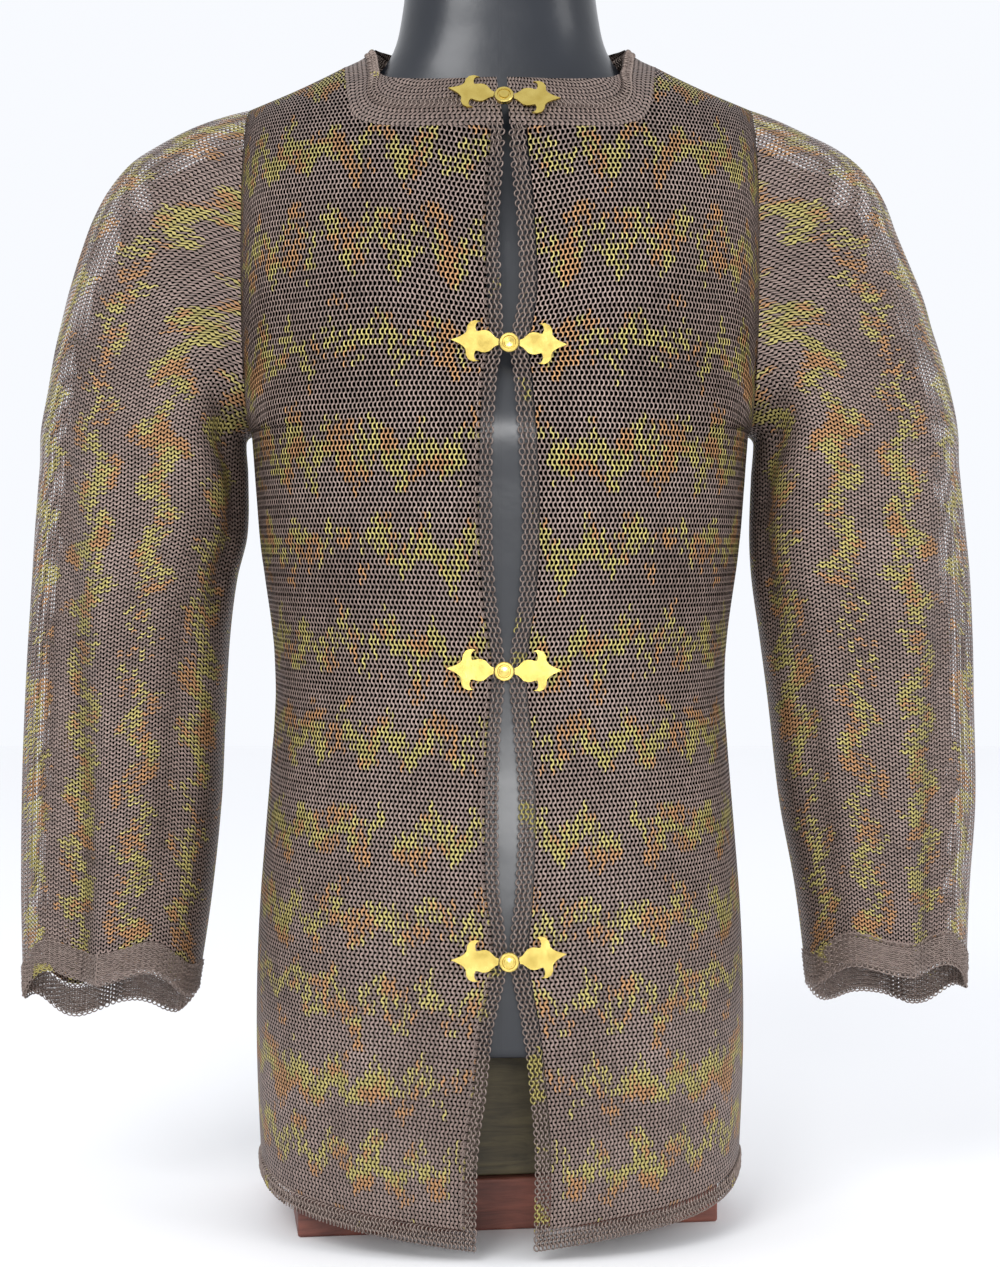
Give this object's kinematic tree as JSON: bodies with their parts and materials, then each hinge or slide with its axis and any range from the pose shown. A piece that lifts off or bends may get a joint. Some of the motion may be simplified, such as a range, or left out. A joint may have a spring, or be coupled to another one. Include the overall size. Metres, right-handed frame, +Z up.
{
  "type": "mail shirt on a torso form",
  "caption": "Open-fronted mail shirt with long loose sleeves, a collar band and leaf clasps, worn by a limbless torso form on a wooden riser and plank.",
  "frame": {"origin": "on the underside of the plank, straight below the middle of the body and of the neck", "axes": "+Z up along the body, -Y towards the open front, +X towards the wearer's left sleeve"},
  "size_m": [0.6366, 0.246, 0.86],
  "materials": {
    "mail": "interlinked rings, mostly brown iron, with brass rings in zigzag bands",
    "iron_mail": "interlinked brown iron rings",
    "brass": "polished with fine scratches",
    "form": "glossy blue-black paint over a moulded shell",
    "riser_wood": "dull stained board",
    "plank_wood": "worn red-brown stained board"
  },
  "bodies": {
    "root": {"front_right": "mail", "front_left": "mail", "back": "mail", "sleeve_right": "mail", "sleeve_left": "mail", "collar_right": "iron_mail", "collar_left": "iron_mail", "collar_back": "iron_mail", "clasp_1_eye_leaf": "brass", "clasp_1_hook_leaf": "brass", "clasp_1_disc": "brass", "clasp_2_eye_leaf": "brass", "clasp_2_hook_leaf": "brass", "clasp_2_disc": "brass", "clasp_3_eye_leaf": "brass", "clasp_3_hook_leaf": "brass", "clasp_3_disc": "brass", "clasp_4_eye_leaf": "brass", "clasp_4_hook_leaf": "brass", "clasp_4_disc": "brass", "torso_form": "form", "riser": "riser_wood", "plank": "plank_wood"}
  },
  "joints": []
}
